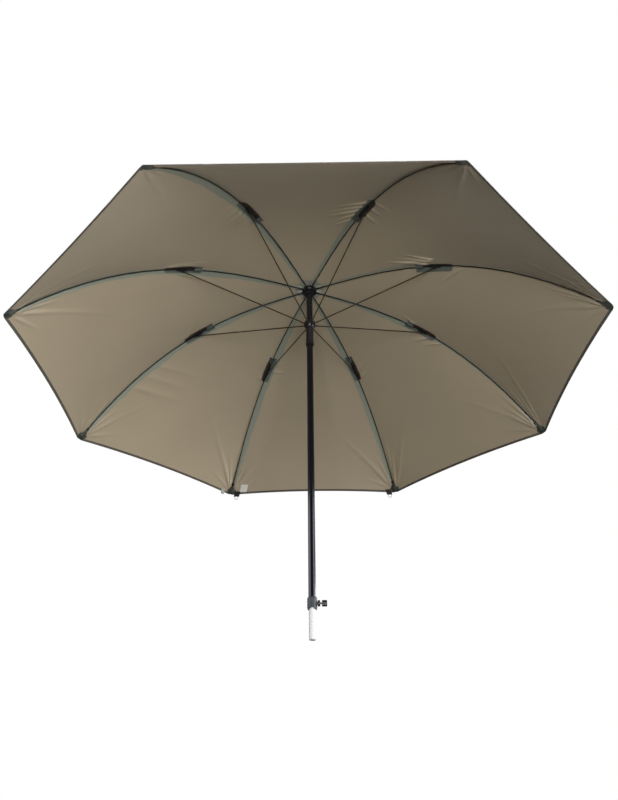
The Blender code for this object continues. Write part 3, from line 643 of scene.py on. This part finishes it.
def patch_place(along, side):
    """An eighth of the patch, with its folds."""
    edge = patch_radius * (1 - patch_draw * np.abs(side) ** patch_draw_power)
    radius = cloth_inner_radius + (edge - cloth_inner_radius) * along
    fold = np.sin(side * patch_waves + 2 * number + 2 * along)
    loose = 4 * along * (1.1 - along) * (1 - side ** 2)
    return radius, side, -patch_drop - patch_fold * loose * (1 + fold)


for number in rib_numbers:
    bm, area = cloth_grid(*patch_grid, patch_place, number, patch_thickness)
    piece = add_piece(f"crown_patch_{number}", bm, patch_cloth, crease=20)
    blend_at_hinge(piece)
    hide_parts("crown_patch")

# Seam tape
# Grey-green tape sewn inside the cloth beside each rib, with two rows of stitches. It shows on one
# side of the rib, widest beyond the bracket, and its width wanders and differs from rib to rib.

tape_grid = (180, 8)
tape_spread = (1.15, 0.027)
tape_cloth = stitched("grey_green_seam_tape", "858a7c", "94998a", (0.011, -0.011))
tape_side = {1: 1, 2: 1, 3: 1, 4: -1, 5: -1, 6: -1, 7: -1, 8: -1}
tape_face = {**tape_side, 1: -1}
tape_change = 0.45
tape_change_length = 0.2
tape_inner_share = {1: 0.6, 2: 1.4, 3: 1.3, 4: 1.5, 5: 1.45, 6: 1.6, 7: 1.2, 8: 0.95}
tape_outer_share = {1: 0.15, 2: 0.4, 3: 0.9, 4: 1.0, 5: 0.9, 6: 0.85, 7: 1.1, 8: 0.15}
tape_near = -0.001
tape_radii = (0.066, 0.2, 0.5, 0.75, 0.9, 1.0, 1.07)
tape_far = (0.011, 0.017, 0.026, 0.033, 0.029, 0.022, 0.014)
tape_drop = 0.0006
tape_thickness = 0.0003
tape_wander = ((0.0012, 37, 1), (0.0008, 91, 0))
tape_reach = 0.98


def tape_place(along, across):
    """A tape from the crown to the hem, from the rib out to its far edge."""
    radius = tape_radii[0] + (tape_radii[-1] - tape_radii[0]) * along
    outer = np.clip((radius - tape_change) / tape_change_length, 0, 1)
    share = tape_inner_share[number] * (1 - outer) + tape_outer_share[number] * outer
    far = np.interp(radius, tape_radii, tape_far) * share
    for size, turns, shift in tape_wander:
        far = far + size * np.sin(radius * turns + shift * number)
    beside = tape_face[number] * (tape_near + (far - tape_near) * (across + 1) / 2)
    side = np.clip(beside / half_width(radius), -tape_reach, tape_reach)
    return radius, side, crease_lift(radius, side * half_width(radius), number) - tape_drop


for number in rib_numbers:
    bm, _ = cloth_grid(*tape_grid, tape_place, number, tape_thickness, tape_spread)
    sew_on(add_piece(f"seam_tape_{number}", bm, tape_cloth, crease=20), number)

# Joint guard, rib tie and rib loop
# A darker patch is sewn over the tape where the bracket would chafe the cloth. On the other side
# a brown tab ties the canopy to the rib, and a slate loop goes round the rib inside the bracket.

guard_cloth = stitched("grey_green_guard", "565d56", "666d65", (0.0125, -0.0125))
tie_cloth = stitched("brown_rib_tie", "241c17", "352b23", (0.008, -0.008))
loop_cloth = stitched("slate_rib_loop", "3c4340", "4a514d", (0.0095, -0.0095))
guard_drop = 0.0012
guard_thickness = 0.0007
tie_drop = guard_drop + 0.0009
tie_thickness = 0.0018
tie_tip = 0.6
loop_drop = guard_drop + 0.0004
loop_thickness = 0.0009
loop_tip = 0.1
loop_hump = 0.0108
hump_half_width = 0.0075
slope_stretch = 1.1


def add_patch(name, number, cloth, first, last, near, far, drop, thickness, grid, tip=0.16,
              hump=0.0):
    """A patch beside a rib, inside the cloth, its ends narrowed by tip. A hump clears the rib."""
    def place_patch(along, across):
        radius = first + (last - first) * along
        rounded = 1 - tip * np.abs(2 * along - 1) ** 8
        middle = (near + far) / 2
        beside = tape_side[number] * (middle + (far - near) / 2 * across * rounded)
        side = beside / half_width(radius)
        over_rib = hump * np.exp(-(beside / hump_half_width) ** 4)
        return radius, side, crease_lift(radius, beside, number) - drop - over_rib

    spread = ((last - first) * slope_stretch, far - near)
    bm, _ = cloth_grid(*grid, place_patch, number, thickness, spread)
    sew_on(add_piece(f"{name}_{number}", bm, cloth, crease=20), number)


guard_far = {1: 0.036, 2: 0.026, 3: 0.023, 4: 0.023, 5: 0.023, 6: 0.023, 7: 0.023, 8: 0.023}
tie_far = {1: 0.009, 2: 0.016, 3: 0.019, 4: 0.019, 5: 0.018, 6: 0.019, 7: 0.019, 8: 0.019}
for number in rib_numbers:
    add_patch("joint_guard", number, guard_cloth, 0.470, 0.610, -0.004, guard_far[number],
              guard_drop, guard_thickness, (40, 12))
    add_patch("rib_tie", number, tie_cloth, 0.490, 0.606, -tie_far[number], 0.006,
              tie_drop, tie_thickness, (30, 12), tie_tip)
    add_patch("rib_loop", number, loop_cloth, 0.468, 0.497, -0.017, 0.012,
              loop_drop, loop_thickness, (12, 60), loop_tip, loop_hump)

# Corner pocket
# Dark grey-green pocket sewn inside each corner on a facing of the same cloth. The tip cap pushes
# into it and bulges it out.

pocket_grid = (24, 24)
pocket_spread = (0.05, 0.044)
pocket_cloth = stitched("grey_green_pocket", "31352f", "3e433b", (0.019, -0.019))
pocket_start = 1.083
pocket_half = 0.022
pocket_bulge = 0.0108
pocket_thickness = 0.0004
pocket_drop = 0.0010
pocket_bow = 0.010
pocket_room = 0.019
pocket_closes = 0.55
pocket_short = 0.001
facing_width_share = 1.1
facing_longer = 0.024
facing_bow = 0.004
facing_drop = 0.0007


def pocket_place(along, across):
    """A pocket, bulged over the tip cap and closed at the hem."""
    beside = pocket_half * across
    side = beside / half_width(tip_radius)
    end = hem_radius(side) - pocket_short
    radius = pocket_start - pocket_bow * np.abs(across) ** 2 + (end - pocket_start) * along
    radius = radius + pocket_bow * np.abs(across) ** 2 * along
    height = 0.5 * (1 + np.cos(math.pi * np.clip(np.abs(beside) / pocket_room, 0, 1)))
    closed = 1 - np.clip((along - pocket_closes) / (1 - pocket_closes), 0, 1) ** 2
    return radius, side, -pocket_drop - pocket_bulge * height * closed


def facing_place(along, across):
    """The flat facing under a pocket, longer and wider than it."""
    beside = pocket_half * across * facing_width_share
    side = beside / half_width(tip_radius)
    end = hem_radius(side) - pocket_short
    start = pocket_start - facing_longer + facing_bow * np.abs(across) ** 4
    return start + (end - start) * along, side, np.full_like(along, -facing_drop)


for number in rib_numbers:
    for name, place_of in (("corner_pocket", pocket_place), ("corner_facing", facing_place)):
        bm, _ = cloth_grid(*pocket_grid, place_of, number, pocket_thickness, pocket_spread)
        sew_on(add_piece(f"{name}_{number}", bm, pocket_cloth, crease=40), number)

# Hem binding
# Dark tape folded over the cut edge of the cloth and stitched through. Its pattern runs along the
# hem, so the coordinates are swapped and counted from the binding's middle.

binding_grid = (4, 160)
binding_middle = 0.004
binding_cloth = stitched("dark_hem_binding", "47423a", "565046", (-0.0015,), 0.003)
binding_width = 0.007
binding_proud = 0.0008
binding_thickness = 0.0018


def binding_place(along, side):
    """The binding along the hem of one gore."""
    edge = hem_radius(side) + binding_proud
    radius = edge - binding_width * (1 - along)
    lift = crease_lift(radius, side * half_width(radius), number)
    return radius, side, lift + (binding_thickness - cloth_thickness) / 2


for number in rib_numbers:
    bm, _ = cloth_grid(*binding_grid, binding_place, number, binding_thickness)
    layer = bm.loops.layers.uv.active
    for face in bm.faces:
        for loop in face.loops:
            u, v = loop[layer].uv
            loop[layer].uv = (v, u - tip_radius + binding_middle)
    sew_on(add_piece(f"hem_binding_{number}", bm, binding_cloth, crease=40), number)

# Sewn tags and peg tabs
# Two small blank satin tags are caught in the hem beside one corner. Beside the two far corners
# a black webbing tab hangs below the hem, with a wire ring for a peg or guy.

tag_cloth = speckled("blank_satin_tag", "d2d4ca", "e6e7df", 0.002, 0.5)
grey_tag_cloth = speckled("blank_grey_tag", "a4a79d", "b8bab0", 0.002, 0.5)
webbing = speckled("black_webbing", "0d0e0d", "1b1c1a", 0.0012, 0.6, 0.0, 0.4)
tag_grid = (8, 8)
tag_rib = 4
tag_drop = 0.0012
tag_droop = 0.002
tag_thickness = 0.0003
tab_thickness = 0.0014
tab_end = 1.1165


def add_tag(name, number, cloth, beside, width, first, last, thickness=tag_thickness):
    """A tag sewn in at the hem, whose inner end droops off the cloth."""
    def tag_place(along, across):
        radius = first + (last - first) * along
        side = (beside + width * across / 2) / half_width(radius)
        lift = crease_lift(radius, side * half_width(radius), number)
        return radius, side, lift - tag_drop - tag_droop * (1 - along) ** 2

    bm, _ = cloth_grid(*tag_grid, tag_place, number, thickness)
    sew_on(add_piece(name, bm, cloth), number)


add_tag("inner_tag", tag_rib, tag_cloth, -0.062, 0.036, 1.074, 1.101)
add_tag("outer_tag", tag_rib, grey_tag_cloth, 0.050, 0.020, 1.098, 1.116)
ring_radius = 0.0085
ring_wire = 0.0011
ring_steps = 40
ring_tilt = math.radians(-30)
ring_hang = Vector((0.002, 0, -0.006))
for number, beside in ((3, 0.034), (4, -0.034)):
    add_tag(f"peg_tab_{number}", number, webbing, beside, 0.028, 1.098, tab_end, tab_thickness)
    middle = cloth_points(np.array([tab_end]), np.array([beside / half_width(tab_end)]))[0]
    bm = bmesh.new()
    bmesh.ops.create_circle(bm, segments=10, radius=ring_wire)
    bmesh.ops.translate(bm, verts=bm.verts, vec=(0, ring_radius, 0))
    bmesh.ops.spin(bm, geom=bm.verts[:] + bm.edges[:], cent=(0, 0, 0), axis=(1, 0, 0),
                   angle=math.tau, steps=ring_steps, use_merge=True)
    bmesh.ops.remove_doubles(bm, verts=bm.verts, dist=0.00001)
    bmesh.ops.rotate(bm, verts=bm.verts, matrix=Matrix.Rotation(ring_tilt, 3, "Y"))
    bmesh.ops.translate(bm, verts=bm.verts, vec=Vector(middle) + ring_hang)
    bmesh.ops.transform(bm, matrix=rib_frame(number), verts=bm.verts)
    bmesh.ops.recalc_face_normals(bm, faces=bm.faces)
    piece = add_piece(f"peg_ring_{number}", bm, drawn_wire)
    fold_with_rib(piece, number)

# The gores on their ribs
# Flat, a gore is two long triangles with one curved edge each, 1.20 m along the rib from the crown
# and 0.86 m between the hem's ends. What is sewn on goes with it.

for number, (piece, area) in gores.items():
    fold_with_rib(piece, number)
    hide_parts(f"canopy_gore_{number}")
